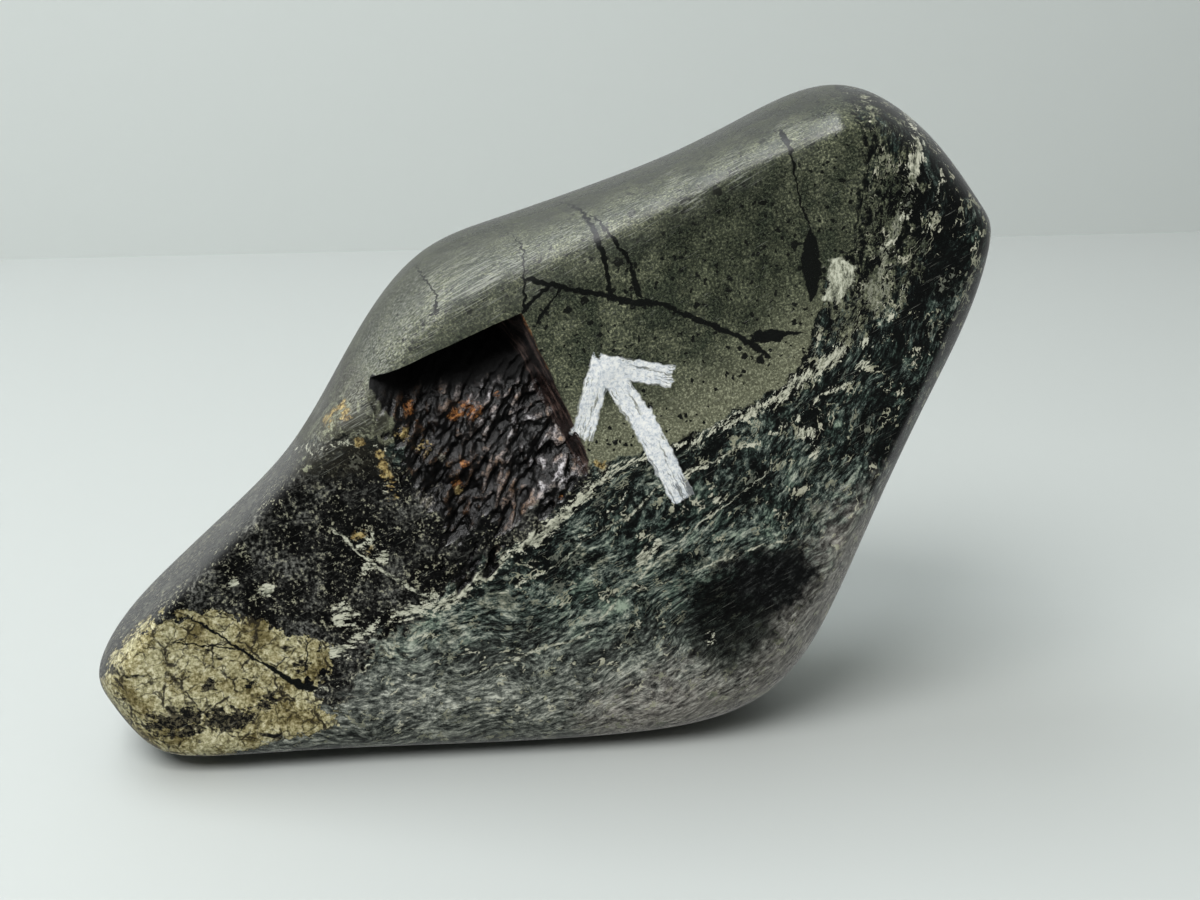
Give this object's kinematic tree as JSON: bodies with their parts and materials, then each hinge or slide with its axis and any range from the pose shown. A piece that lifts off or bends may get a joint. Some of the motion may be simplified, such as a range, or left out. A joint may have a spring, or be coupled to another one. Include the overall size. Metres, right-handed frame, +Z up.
{
  "type": "viewing stone",
  "caption": "Polished viewing stone of layered green and grey rock, with a broken hollow in its flat face; stands on a small flat on its underside.",
  "frame": {"origin": "a point of the ground flat on the underside, near the middle of the stone's length and thickness", "axes": "+X along the stone's length, to the right of someone who looks at its polished face; -Y out of the polished face; +Z up"},
  "size_m": [0.096, 0.0382, 0.0715],
  "materials": {
    "stone": "polished"
  },
  "bodies": {
    "root": {"viewing_stone": "stone"}
  },
  "joints": []
}
